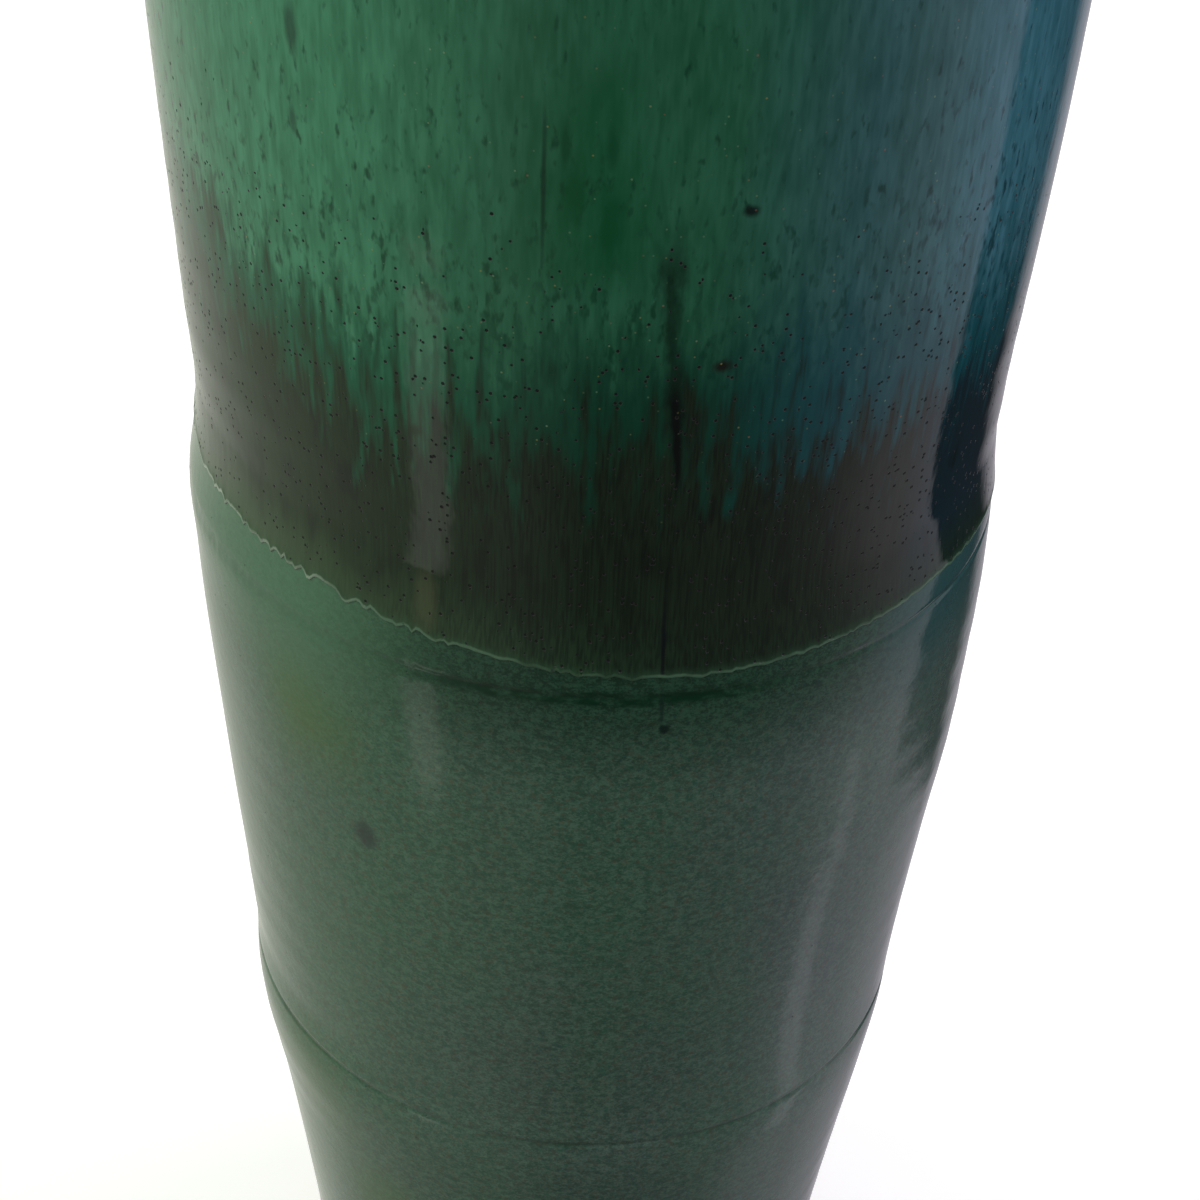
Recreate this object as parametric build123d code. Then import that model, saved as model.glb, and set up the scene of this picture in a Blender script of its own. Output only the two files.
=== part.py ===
from build123d import *
from math import cos, radians, sin
import os

# Tall stoneware floor vase: thrown in sections, luted together with slip, and glazed inside and out.
# Units are millimetres. +Z is up along the vase's axis. The origin is the middle of the foot's underside.
# Every piece is a ring turned about the axis, so each is drawn as a half section in the XZ plane,
# where x is the distance from the axis, and is then revolved.

# ---- Driving dimensions ---------------------------------------------------------------------
LOWER_JOINT_Z = 238.0        # joint between the first and second thrown sections
UPPER_JOINT_Z = 476.0        # joint between the second and third
SHOULDER_JOINT_Z = 772.0     # joint under the dome that closes the shoulder
WIDEST_Z = 800.0             # where the outside stands upright, at its widest
WIDEST_R = 157.0             # outside of the clay there
FOOT_R = 110.0               # outside of the foot

WALL_T = 10.0                # thickness of the thrown clay
GLAZE_T = 1.0                # thickness of the glaze, inside and outside
GLAZE_START_Z = 18.0         # the glaze stops here, so the foot stays bare
GLAZE_EDGE_Z = 487.0         # where the upper glaze ends over the lower one, just above the joint

# ---- Foot and floor -------------------------------------------------------------------------
FOOT_H = 16.0                # height of the turned foot ring
FOOT_W = 15.0                # width of the face that it stands on
FOOT_BEVEL = 2.5             # turned bevel round its outside
BASE_Z = 8.0                 # underside of the floor slab, raised inside the foot ring
FLOOR_Z = 22.0               # top of the floor slab
CORNER_R = 13.0              # hollow curve between the floor and the wall inside

# ---- Shoulder, neck and rim -----------------------------------------------------------------
SHOULDER_R = 88.0            # radius of the shoulder's arc
SHOULDER_SWEEP = 72.0        # degrees that it turns through
HOLLOW_R = 24.0              # radius of the hollow curve between shoulder and neck
COLLAR_RISE = 26.0           # height of the collar above that curve
COLLAR_LEAN = 8.0            # how far the collar opens outwards
RIM_R = 8.5                  # radius of the rolled rim
RIM_OUT = 2.0                # how far the roll stands outside the collar's middle
RIM_UP = 3.4                 # how far its middle is above the collar's top

# ---- Luted joints ---------------------------------------------------------------------------
SLIP_H = 3.0                 # height of the slip in a joint
SLIP_COVER = 2.5             # clay that hides the slip on each side

# The outside of the clay from the foot to the widest place. Each section swells in its middle, and
# each joint is a shallow waist over the swollen edge of the section below.
OUTLINE = [
    (FOOT_R, FOOT_H),
    (115.7, 75.0),
    (124.1, 146.0),
    (131.4, 200.0),
    (134.7, LOWER_JOINT_Z - 10.0),
    (134.9, LOWER_JOINT_Z + 6.0),
    (135.9, LOWER_JOINT_Z + 26.0),
    (140.7, 322.0),
    (145.9, 392.0),
    (149.3, UPPER_JOINT_Z - 14.0),
    (148.4, UPPER_JOINT_Z + 7.0),
    (145.9, UPPER_JOINT_Z + 34.0),
    (147.3, 546.0),
    (151.4, 615.0),
    (155.2, 705.0),
    (WIDEST_R, WIDEST_Z),
]

# Places that follow from those sizes.
shoulder_turn = radians(SHOULDER_SWEEP)
shoulder_centre = (WIDEST_R - SHOULDER_R, WIDEST_Z)
hollow_centre = (
    shoulder_centre[0] + (SHOULDER_R + HOLLOW_R) * cos(shoulder_turn),
    WIDEST_Z + (SHOULDER_R + HOLLOW_R) * sin(shoulder_turn),
)
collar_foot_z = hollow_centre[1]
collar_foot_r = hollow_centre[0] - HOLLOW_R
collar_top_z = collar_foot_z + COLLAR_RISE
rim_centre = (collar_foot_r + COLLAR_LEAN - WALL_T / 2 + RIM_OUT, collar_top_z + RIM_UP)
height = rim_centre[1] + RIM_R + GLAZE_T
WIDE = 2 * WIDEST_R          # wider than the vase, for cutting half sections
HALF_TURN = radians(180)

os.makedirs("parts", exist_ok=True)


def at(r, z):
    """A point of the half section, r from the axis and z above the ground."""
    return (r, 0, z)


def block(r0, r1, z0, z1):
    """A rectangle of the half section."""
    return make_face(Polyline(at(r0, z0), at(r1, z0), at(r1, z1), at(r0, z1), close=True))


def arc_about(centre, radius, start, end):
    """An arc of the half section about a centre, between two angles in radians."""
    corners = []
    for turn in (start, (start + end) / 2, end):
        corners.append(at(centre[0] + radius * cos(turn), centre[1] + radius * sin(turn)))
    return ThreePointArc(*corners)


def upper_outline(out):
    """Shoulder, hollow and collar, moved outwards by out: edges from the widest place upwards."""
    shoulder = arc_about(shoulder_centre, SHOULDER_R + out, 0, shoulder_turn)
    hollow = arc_about(hollow_centre, HOLLOW_R - out, shoulder_turn - HALF_TURN, -HALF_TURN)
    collar = Line(
        at(collar_foot_r + out, collar_foot_z), at(collar_foot_r + COLLAR_LEAN + out, collar_top_z)
    )
    return [shoulder, hollow, collar]


def wall_spline(out, points):
    """The outline below the widest place, moved outwards by out."""
    moved = [at(r + out, z) for r, z in points]
    first = Vector(*moved[1]) - Vector(*moved[0])
    return Spline(*moved, tangents=[first.normalized(), Vector(0, 0, 1)])


def outside(out):
    """Half section of everything inside the outline, from the ground to the collar's top."""
    top_r = collar_foot_r + COLLAR_LEAN + out
    under = Polyline(
        at(0, collar_top_z),
        at(0, 0),
        at(FOOT_R - FOOT_BEVEL + out, 0),
        at(FOOT_R + out, FOOT_BEVEL),
        at(FOOT_R + out, FOOT_H),
    )
    top = Line(at(top_r, collar_top_z), at(0, collar_top_z))
    return make_face([under, wall_spline(out, OUTLINE), *upper_outline(out), top])


def cavity(inwards):
    """Half section of the space inside the clay, with its walls moved inwards by a coat's thickness."""
    out = -WALL_T - inwards
    floor_z = FLOOR_Z + inwards
    corner_r = CORNER_R - inwards
    corner_z = FLOOR_Z + CORNER_R
    (low_r, low_z), (next_r, next_z) = OUTLINE[:2]
    clay_r = low_r + (next_r - low_r) * (corner_z - low_z) / (next_z - low_z)
    wall_r = clay_r + out
    floor = Line(at(0, floor_z), at(wall_r - corner_r, floor_z))
    corner = arc_about((wall_r - corner_r, corner_z), corner_r, -HALF_TURN / 2, 0)
    wall = wall_spline(out, [(clay_r, corner_z), *OUTLINE[1:]])
    top_r = collar_foot_r + COLLAR_LEAN + out
    close = Polyline(at(top_r, collar_top_z), at(0, collar_top_z), at(0, floor_z))
    return make_face([floor, corner, wall, *upper_outline(out), close])


def rim(coat):
    """Half section of the rolled rim, with a coat of glaze round it."""
    return Pos(rim_centre[0], 0, rim_centre[1]) * (Plane.XZ * Circle(RIM_R + coat))


def shell(coat):
    """Half section of the pot's walls, floor and rim, with a coat of glaze inside and out."""
    foot_recess = block(0, FOOT_R - FOOT_W, 0, BASE_Z)
    return outside(coat) - cavity(coat) - foot_recess + rim(coat)


def band(z0, z1):
    """Everything in the half section between two heights."""
    return block(0, WIDE, z0, z1)


def joint_slip(z):
    """Half section of the slip in a joint, hidden from both faces of the wall."""
    covered = outside(-SLIP_COVER) - cavity(-SLIP_COVER)
    return covered & band(z - SLIP_H / 2, z + SLIP_H / 2)


# ---- Clay ---------------------------------------------------------------------------------------
clay = shell(0)
foot = block(FOOT_R - FOOT_W, WIDE, 0, FOOT_H)
slab = block(0, FOOT_R - FOOT_W, BASE_Z, FLOOR_Z)
slips = {
    "lower_joint_slip": joint_slip(LOWER_JOINT_Z),
    "upper_joint_slip": joint_slip(UPPER_JOINT_Z),
    "shoulder_joint_slip": joint_slip(SHOULDER_JOINT_Z),
}
wall = clay - slab - rim(0)
for slip in slips.values():
    wall -= slip

pieces = {
    "foot_ring": clay & foot,
    "base_slab": clay & slab,
    "lower_wall": wall & band(FOOT_H, LOWER_JOINT_Z),
    "middle_wall": wall & band(LOWER_JOINT_Z, UPPER_JOINT_Z),
    "upper_wall": wall & band(UPPER_JOINT_Z, SHOULDER_JOINT_Z),
    "shoulder_wall": wall & band(SHOULDER_JOINT_Z, collar_foot_z),
    "neck_collar": wall & band(collar_foot_z, height),
    "rim_roll": rim(0),
    **slips,
}

# ---- Glaze --------------------------------------------------------------------------------------
glaze = shell(GLAZE_T) - clay
inside = cavity(-WALL_T / 2) + block(0, rim_centre[0], collar_top_z, height + GLAZE_T)
outer_glaze = glaze - inside
pieces["lining_glaze"] = glaze & inside
pieces["lower_glaze"] = outer_glaze & band(GLAZE_START_Z, GLAZE_EDGE_Z)
pieces["upper_glaze"] = outer_glaze & band(GLAZE_EDGE_Z, height)

# ---- Turned pieces, one file each -----------------------------------------------------------------
for name, section in pieces.items():
    export_step(revolve(section, Axis.Z), f"parts/{name}.step")
print("height", round(height, 2), "mouth radius", round(collar_foot_r - WALL_T - GLAZE_T, 2))
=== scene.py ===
# %% [markdown]
# # A tall stoneware floor vase
# The vase is thrown on the wheel in sections, which are luted together with slip while they
# are leather-hard, and then glazed: sage green over the lower part, a running teal over the
# upper part, and a dark lining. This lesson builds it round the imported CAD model, which gives
# every size, and spends most of its effort on the two glazes, because they are what the eye
# sees.
#
# The first step loads the CAD model as a fixed frame. Nothing here moves or resizes it.

# %% Load the frame
import bmesh
import bpy
import math
import numpy as np
from mathutils import Matrix, Vector


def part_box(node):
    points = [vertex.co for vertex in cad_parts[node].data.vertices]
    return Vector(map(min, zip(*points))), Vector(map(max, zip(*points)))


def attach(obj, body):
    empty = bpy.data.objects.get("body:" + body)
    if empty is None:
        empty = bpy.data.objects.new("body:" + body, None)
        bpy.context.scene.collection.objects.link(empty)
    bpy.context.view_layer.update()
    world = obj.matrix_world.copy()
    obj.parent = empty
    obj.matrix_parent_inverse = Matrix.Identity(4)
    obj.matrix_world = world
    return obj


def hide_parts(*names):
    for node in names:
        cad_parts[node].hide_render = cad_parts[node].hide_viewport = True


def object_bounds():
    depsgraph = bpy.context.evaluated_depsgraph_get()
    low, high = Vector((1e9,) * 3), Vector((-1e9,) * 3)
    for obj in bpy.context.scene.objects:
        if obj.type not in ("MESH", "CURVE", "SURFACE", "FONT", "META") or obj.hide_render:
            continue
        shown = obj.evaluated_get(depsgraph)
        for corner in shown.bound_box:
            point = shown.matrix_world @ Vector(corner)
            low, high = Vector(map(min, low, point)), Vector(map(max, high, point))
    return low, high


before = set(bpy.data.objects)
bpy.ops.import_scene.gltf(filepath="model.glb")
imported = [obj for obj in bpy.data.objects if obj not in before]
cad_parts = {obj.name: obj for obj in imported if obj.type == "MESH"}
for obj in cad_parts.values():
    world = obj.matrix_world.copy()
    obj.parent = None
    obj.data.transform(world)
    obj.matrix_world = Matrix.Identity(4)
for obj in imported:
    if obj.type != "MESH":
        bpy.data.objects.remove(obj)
cad_low, cad_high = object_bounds()
print("CAD box", [round(v, 4) for v in (*cad_low, *cad_high)])

# %% [markdown]
# ## Heights and radii
# Heights of the joints and of the glaze's edge are read from the CAD pieces, so they can't
# drift away from the model. MM turns millimetres, which are easier to read on a pot, into
# Blender's metres.

# %% Read the main sizes from the frame
MM = 0.001


def bottom(node):
    """Lowest height of a CAD piece."""
    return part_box(node)[0].z


def top(node):
    """Highest height of a CAD piece."""
    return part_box(node)[1].z


LOWER_JOINT = top("lower_wall")
UPPER_JOINT = top("middle_wall")
SHOULDER_JOINT = top("upper_wall")
COLLAR_FOOT = top("shoulder_wall")
FOOT_TOP = top("foot_ring")
GLAZE_START = bottom("lower_glaze")
GLAZE_EDGE = bottom("upper_glaze")
RIM_TOP = cad_high.z
WIDEST_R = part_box("shoulder_wall")[1].x
FOOT_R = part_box("foot_ring")[1].x
SLAB_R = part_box("base_slab")[1].x
RIM_R = (top("rim_roll") - bottom("rim_roll")) / 2
RIM_Z = (top("rim_roll") + bottom("rim_roll")) / 2
RIM_MID_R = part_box("rim_roll")[1].x - RIM_R
WALL_T = 10 * MM
GLAZE_T = 1 * MM
SLAB_BOTTOM, FLOOR = bottom("base_slab"), top("base_slab")
SLIP_H = top("lower_joint_slip") - bottom("lower_joint_slip")
print("glaze over the rim", round((top("upper_glaze") - top("rim_roll")) / MM, 2), "mm, edge at",
      round(GLAZE_EDGE, 4))

# %% [markdown]
# ## Camera
# The vase is seen from a little above, with a long lens, leaning a few degrees in the
# picture. The camera comes first, because every later choice is judged through it.

# %% Place the camera
CAMERA_AT = Vector((4.4 * MM, -786.4 * MM, 997.2 * MM))
LOOK_DOWN = math.radians(37.02)
ROLL = math.radians(2.66)
LENS, SENSOR = 75, 36

camera_data = bpy.data.cameras.new("studio_camera")
camera_data.lens = LENS
camera_data.sensor_width = SENSOR
camera_data.clip_start, camera_data.clip_end = 0.01, 50
camera = bpy.data.objects.new("studio_camera", camera_data)
bpy.context.scene.collection.objects.link(camera)
ahead = Vector((0, math.cos(LOOK_DOWN), -math.sin(LOOK_DOWN)))
level_right = Vector((1, 0, 0))
level_up = level_right.cross(ahead)
right = math.cos(ROLL) * level_right + math.sin(ROLL) * level_up
up = right.cross(ahead)
turn = Matrix((right, up, -ahead)).transposed()
camera.matrix_world = Matrix.Translation(CAMERA_AT) @ turn.to_4x4()
bpy.context.scene.camera = camera
print("camera", [round(v, 3) for v in CAMERA_AT], "lens", LENS)

# %% [markdown]
# ## The outline
# A potter checks a big pot against a rib cut to its outline. The rib here is a few points,
# joined by a smooth cubic curve, because a glossy glaze shows every flat. Each thrown section
# swells gently, and each joint is a shallow waist over the swollen edge of the section below
# it.

# %% Cut the rib
RIB = [  # radius and height of the clay's outside, from the foot to the widest place
    (FOOT_R, FOOT_TOP),
    *((r * MM, low + z * MM) for r, low, z in (
        (115.7, 0, 75), (124.1, 0, 146), (131.4, 0, 200),
        (134.7, LOWER_JOINT, -10), (134.9, LOWER_JOINT, 6), (135.9, LOWER_JOINT, 26),
        (140.7, 0, 322), (145.9, 0, 392),
        (149.3, UPPER_JOINT, -14), (148.4, UPPER_JOINT, 7), (145.9, UPPER_JOINT, 34),
        (147.3, 0, 546), (151.4, 0, 615), (155.2, 0, 705),
    )),
    (WIDEST_R, 800 * MM),
]
SHOULDER_R, SHOULDER_SWEEP = 88 * MM, math.radians(72)
HOLLOW_R = 24 * MM
COLLAR_LEAN, COLLAR_RISE = 8 * MM, 26 * MM
RIB_STEP = 1 * MM


def cubic_through(points, start_slope, end_slope):
    """Radius as a smooth function of height: a cubic spline with given slopes at its ends."""
    r, z = np.array(points, float).T
    h = np.diff(z)
    n = len(z)
    system, wanted = np.zeros((n, n)), np.zeros(n)
    system[0, :2] = 2 * h[0], h[0]
    wanted[0] = 6 * ((r[1] - r[0]) / h[0] - start_slope)
    system[-1, -2:] = h[-1], 2 * h[-1]
    wanted[-1] = 6 * (end_slope - (r[-1] - r[-2]) / h[-1])
    for i in range(1, n - 1):
        system[i, i - 1:i + 2] = h[i - 1], 2 * (h[i - 1] + h[i]), h[i]
        wanted[i] = 6 * ((r[i + 1] - r[i]) / h[i] - (r[i] - r[i - 1]) / h[i - 1])
    bend = np.linalg.solve(system, wanted)

    def radius(height):
        height = np.clip(np.asarray(height, float), z[0], z[-1])
        i = np.clip(np.searchsorted(z, height) - 1, 0, n - 2)
        a, b = (z[i + 1] - height) / h[i], (height - z[i]) / h[i]
        pull = ((a ** 3 - a) * bend[i] + (b ** 3 - b) * bend[i + 1]) * h[i] ** 2 / 6
        return a * r[i] + b * r[i + 1] + pull

    return radius


foot_slope = (RIB[1][0] - RIB[0][0]) / (RIB[1][1] - RIB[0][1])
clay_radius = cubic_through(RIB, foot_slope, 0.0)
WIDEST = RIB[-1][1]

# How far the rib is from the CAD clay, as a check.
cad_wall = np.array([v.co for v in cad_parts["upper_wall"].data.vertices])
cad_r = np.hypot(cad_wall[:, 0], cad_wall[:, 1])
on_outside = cad_r > clay_radius(cad_wall[:, 2]) - WALL_T / 5
miss = np.abs(cad_r[on_outside] - clay_radius(cad_wall[on_outside, 2])).max()
print("rib matches the CAD wall to", round(miss / MM, 3), "mm")

# %% [markdown]
# ## A bench for node trees
# Both the shapes and the glazes are node trees. This small helper adds a node, fills its
# inputs in order and hands back its output, so that a tree reads like a sum.


# %% Node helper
class Bench:
    """Adds nodes to a tree. An input that is a socket is linked, and any other is its value."""

    def __init__(self, tree):
        self.tree = tree

    def node(self, kind, *inputs, **settings):
        made = self.tree.nodes.new(kind)
        named = {k: v for k, v in settings.items() if k.startswith("in_")}
        for key, value in settings.items():
            if key not in named:
                setattr(made, key, value)
        pairs = [*enumerate(inputs), *((k[3:].replace("_", " "), v) for k, v in named.items())]
        for key, value in pairs:
            if value is None:
                continue
            if isinstance(value, bpy.types.NodeSocket):
                self.tree.links.new(value, made.inputs[key])
            else:
                made.inputs[key].default_value = value
        return made

    def get(self, kind, *inputs, out=0, **settings):
        return self.node(kind, *inputs, **settings).outputs[out]

    def math(self, operation, *inputs, clamp=False):
        return self.get("ShaderNodeMath", *inputs, operation=operation, use_clamp=clamp)

    def add(self, first, *more):
        for value in more:
            first = self.math("ADD", first, value)
        return first

    def times(self, first, *more):
        for value in more:
            first = self.math("MULTIPLY", first, value)
        return first

    def less(self, a, b):
        return self.math("SUBTRACT", a, b)

    def sway(self, noise, reach):
        """Noise, which lies about a half, as a swing to either side."""
        return self.times(self.less(noise, 0.5), reach)

    def hump(self, value, centre, reach):
        """A rounded hump: 1 at the centre, and about a third of that at its reach."""
        away = self.math("DIVIDE", self.less(value, centre), reach)
        return self.math("EXPONENT", self.times(away, away, -1.0))

    def clouds(self, place, scale, detail):
        """Plain noise at a place."""
        return self.get("ShaderNodeTexNoise", in_Vector=place, in_Scale=scale, in_Detail=detail)

    def span(self, value, low, high, to_low=0.0, to_high=1.0, smooth=True):
        """Map value from low..high to to_low..to_high, held flat outside."""
        kind = "SMOOTHSTEP" if smooth else "LINEAR"
        return self.get("ShaderNodeMapRange", value, low, high, to_low, to_high,
                        interpolation_type=kind)

    def bell(self, value, centre, half, soft):
        """1 within half of centre, falling to 0 over soft more."""
        away = self.math("ABSOLUTE", self.less(value, centre))
        return self.span(away, half, half + soft, 1.0, 0.0)


# %% [markdown]
# ## The wheel: a Geometry Nodes lathe
# Every piece of a thrown pot is a ring turned about one axis, so one Geometry Nodes tree can
# turn them all, as the wheel does. It takes a section, a closed loop of points in a half
# plane, and carries it round. A hand-thrown pot is never quite true, so the tree also leans
# the joints a little, pulls the ring slightly oval, leaves throwing rings and soft dents, and
# lets the glaze's edge wave. All of it is worked out from the turn and the height alone, so
# pieces that touch stay in touch.

# %% Build the wheel
SEED = 7.0
OVAL, RINGS, DENTS = 0.1 * MM, 0.12 * MM, 0.3 * MM
RING_PITCH = 19 * MM
LEANS = [  # height, reach, lean and its direction in degrees, of each joint that isn't level
    (LOWER_JOINT, 45 * MM, 3.2 * MM, -65),
    (UPPER_JOINT, 45 * MM, 0.8 * MM, -75),
    (SHOULDER_JOINT, 40 * MM, 1.5 * MM, 100),
]
SWELLS = [  # turn in degrees, height, swell, reach round in degrees and reach up, lengths in mm
    (-80, 474, 1.5, 35, 15), (-80, 545, 0.5, 40, 25), (-75, 275, 0.5, 35, 20),
    (-75, 214, 1.5, 40, 32), (78, 376, 1.4, 35, 32), (78, 218, -0.9, 35, 24),
    (78, 470, -0.8, 35, 28), (78, 526, 0.5, 35, 12), (80, 640, 0.6, 45, 60),
]
EDGE_MEAN = 3.8 * MM
EDGE_WAVES = [  # cosine and sine parts of the edge's waves in mm, once, twice ... round the pot
    (-2.3, -6.9), (-1.5, -0.8), (-0.6, 1.8), (-1.5, -2.3),
]
SCALLOPS = 74
SCALLOP_DEPTH = 3.2 * MM
CREASES = [  # height, depth and reach
    (LOWER_JOINT, 0.45 * MM, 1.3 * MM),
    (UPPER_JOINT, 0.4 * MM, 1.1 * MM),
]
SHARP = math.radians(38)     # edges that turn more than this are cut edges
TOUCHING = 1e-6              # points nearer than this are one point


def wheel_tree():
    """A Geometry Nodes group that turns a section round the axis."""
    tree = bpy.data.node_groups.new("wheel", "GeometryNodeTree")
    for name, kind in (("Section", "Object"), ("Rib", "Object"), ("Steps round", "Int"),
                       ("Hand", "Float"), ("Finish", "Material")):
        tree.interface.new_socket(name, in_out="INPUT", socket_type="NodeSocket" + kind)
    tree.interface.new_socket("Geometry", in_out="OUTPUT", socket_type="NodeSocketGeometry")
    b = Bench(tree)
    inputs = tree.nodes.new("NodeGroupInput").outputs
    section = b.get("GeometryNodeObjectInfo", inputs["Section"], out="Geometry")
    rib = b.get("GeometryNodeObjectInfo", inputs["Rib"], out="Geometry")
    count = b.get("GeometryNodeAttributeDomainSize", section, component="MESH")
    across, along = b.add(count, 1), b.add(inputs["Steps round"], 1)
    grid = b.get("GeometryNodeMeshGrid", 1.0, 1.0, across, along)
    flat = b.node("ShaderNodeSeparateXYZ", b.get("GeometryNodeInputPosition"))
    row = b.math("MODULO", b.math("ROUND", b.times(b.add(flat.outputs[0], 0.5), count)), count)
    turn = b.times(b.add(flat.outputs[1], 0.5), math.tau)

    def sample(geometry, index):
        place = b.get("GeometryNodeInputPosition")
        kept = b.get("GeometryNodeSampleIndex", geometry, place, index, data_type="FLOAT_VECTOR")
        return b.node("ShaderNodeSeparateXYZ", kept).outputs

    radius, follow, height = sample(section, row)

    def rib_radius(z):
        steps = b.math("DIVIDE", z, RIB_STEP)
        below = b.math("FLOOR", steps)
        part = b.less(steps, below)
        low, high = sample(rib, below)[0], sample(rib, b.add(below, 1))[0]
        return b.add(b.times(low, b.less(1, part)), b.times(high, part))

    def sine(angle, phase=0.0):
        return b.math("SINE", b.add(angle, phase))

    def facing(degrees):
        """1 on the side at that many degrees from the front, and -1 on the other side."""
        return sine(turn, math.pi / 2 - math.radians(degrees))

    # The glaze's edge: slow waves, and small scallops where the glaze crept down and stopped.
    round_x, round_y = b.math("COSINE", turn), b.math("SINE", turn)
    circle = b.get("ShaderNodeCombineXYZ", round_x, round_y, 0.0)
    wave = EDGE_MEAN
    for times, (cosine_part, sine_part) in enumerate(EDGE_WAVES, 1):
        angle = b.times(turn, times)
        wave = b.add(wave, b.times(b.math("COSINE", angle), cosine_part * MM))
        wave = b.add(wave, b.times(b.math("SINE", angle), sine_part * MM))
    uneven = b.clouds(circle, 5.0, 2.0)
    slipped = b.add(b.times(turn, SCALLOPS / 2), b.times(uneven, 26.0))
    lobes = b.math("ABSOLUTE", sine(slipped))
    patchy = b.clouds(circle, 2.1, 1.0)
    leftness = b.span(round_y, -0.7, 0.6, 1.0, 0.38)
    depth = b.times(b.span(patchy, 0.3, 0.65, 0.45, 1.0), leftness, SCALLOP_DEPTH)
    scallops = b.times(b.less(lobes, 0.6), depth)
    fine = b.clouds(circle, 24.0, 2.0)
    wave = b.add(wave, scallops, b.sway(fine, 2.0 * MM))
    moved = b.add(height, b.times(follow, wave))
    radius = b.add(radius, b.less(rib_radius(moved), rib_radius(height)))

    # The hand: leaning joints, an oval pull, throwing rings and soft dents.
    lean = 0.0
    for joint, reach, amount, toward in LEANS:
        lean = b.add(lean, b.times(b.hump(moved, joint, reach), amount, facing(toward)))
    clear = b.times(b.span(moved, 10 * MM, 60 * MM), b.span(moved, 880 * MM, 700 * MM, 0.25, 1.0),
                    inputs["Hand"])
    oval = b.times(b.add(sine(b.times(turn, 2), 0.8), 1.0), OVAL / 2)
    coil = b.add(b.math("DIVIDE", b.times(moved, math.tau), RING_PITCH), turn)
    slow = b.get("ShaderNodeCombineXYZ", round_x, round_y, b.times(moved, 9.0))
    dents, faint = (
        b.get("ShaderNodeTexNoise", in_Vector=slow, in_W=seed, in_Scale=scale, in_Detail=detail,
              noise_dimensions="4D")
        for seed, scale, detail in ((SEED, 0.9, 1.0), (SEED + 1, 1.6, 0.0))
    )
    rings = b.times(b.add(sine(coil), 1.0), RINGS / 2, b.span(faint, 0.4, 0.62))
    hand = b.add(oval, rings, b.times(b.span(dents, 0.25, 0.75), DENTS))
    for joint, deep, reach in CREASES:
        hand = b.add(hand, b.times(b.hump(moved, joint, reach), deep))
    for degrees, at, amount, round_reach, up_reach in SWELLS:
        narrow = 1 / (1 - math.cos(math.radians(round_reach)))
        beside = b.math("EXPONENT", b.times(b.less(facing(degrees), 1.0), narrow))
        swell = b.times(b.hump(moved, at * MM, up_reach * MM), beside, amount * MM)
        hand = b.less(hand, swell)
    off_axis = b.math("GREATER_THAN", sample(section, row)[0], TOUCHING)
    radius = b.times(b.math("MAXIMUM", b.less(radius, b.times(hand, clear)), 0.0), off_axis)
    place = b.get("ShaderNodeCombineXYZ", b.times(radius, round_y), b.times(radius, round_x, -1.0),
                  b.add(moved, b.times(lean, clear)))
    turned = grid
    for name, value in (("thrown_height", moved),
                        ("over_edge", b.less(b.less(moved, wave), GLAZE_EDGE))):
        turned = b.get("GeometryNodeStoreNamedAttribute", turned, None, name, value,
                       data_type="FLOAT", domain="POINT")
    turned = b.get("GeometryNodeSetPosition", turned, None, place)
    turned = b.get("GeometryNodeMergeByDistance", turned, in_Distance=TOUCHING)
    turned = b.get("GeometryNodeRealizeInstances", turned)
    turned = b.get("GeometryNodeSetMaterial", turned, None, inputs["Finish"])
    tree.links.new(turned, tree.nodes.new("NodeGroupOutput").inputs[0])
    return tree


wheel = wheel_tree()
print("wheel tree", len(wheel.nodes), "nodes")

# %% [markdown]
# ## Turning a section
# A section is a loop of (radius, height) points, each with a third number that says how far
# it follows the wavy glaze edge. The loop is handed to the wheel as a bare mesh of points,
# and the result is made a plain mesh, its faces turned outwards and shaded smooth, except
# across the cut edges.


# %% Turn a section into a piece
def points_object(name, points):
    """A temporary mesh of loose points, which the wheel reads."""
    mesh = bpy.data.meshes.new(name)
    mesh.from_pydata([tuple(p) for p in points], [], [])
    made = bpy.data.objects.new(name, mesh)
    bpy.context.scene.collection.objects.link(made)
    return made


rib_heights = np.arange(0, WIDEST + 2 * RIB_STEP, RIB_STEP)
rib_points = points_object("rib", [(clay_radius(z), 0, z) for z in rib_heights])


def turned_piece(name, loop, steps, finish, hand=1.0):
    """Carries a closed loop of (radius, height, follow) points round the axis."""
    section = points_object(name + "_section", [(r, f, z) for r, z, f in loop])
    piece = points_object(name, [])
    modifier = piece.modifiers.new("wheel", "NODES")
    modifier.node_group = wheel
    sockets = {s.name: s.identifier for s in wheel.interface.items_tree if s.in_out == "INPUT"}
    for key, value in (("Section", section), ("Rib", rib_points), ("Steps round", steps),
                       ("Hand", hand), ("Finish", finish)):
        modifier[sockets[key]] = value
    bpy.context.view_layer.update()
    ready = piece.evaluated_get(bpy.context.evaluated_depsgraph_get())
    mesh = bpy.data.meshes.new_from_object(ready)
    piece.modifiers.clear()
    piece.data = mesh
    mesh.name = name
    drop_loose_edges(mesh)
    face_outwards(mesh)
    mesh.shade_smooth()
    mesh.set_sharp_from_angle(angle=SHARP)
    bpy.data.objects.remove(section)
    print(name, len(mesh.polygons), "faces")
    return piece


def drop_loose_edges(mesh):
    """Removes what is left on the axis where a loop closes along it."""
    work = bmesh.new()
    work.from_mesh(mesh)
    loose = [e for e in work.edges if not e.link_faces]
    bmesh.ops.delete(work, geom=loose, context="EDGES")
    work.to_mesh(mesh)
    work.free()


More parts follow.
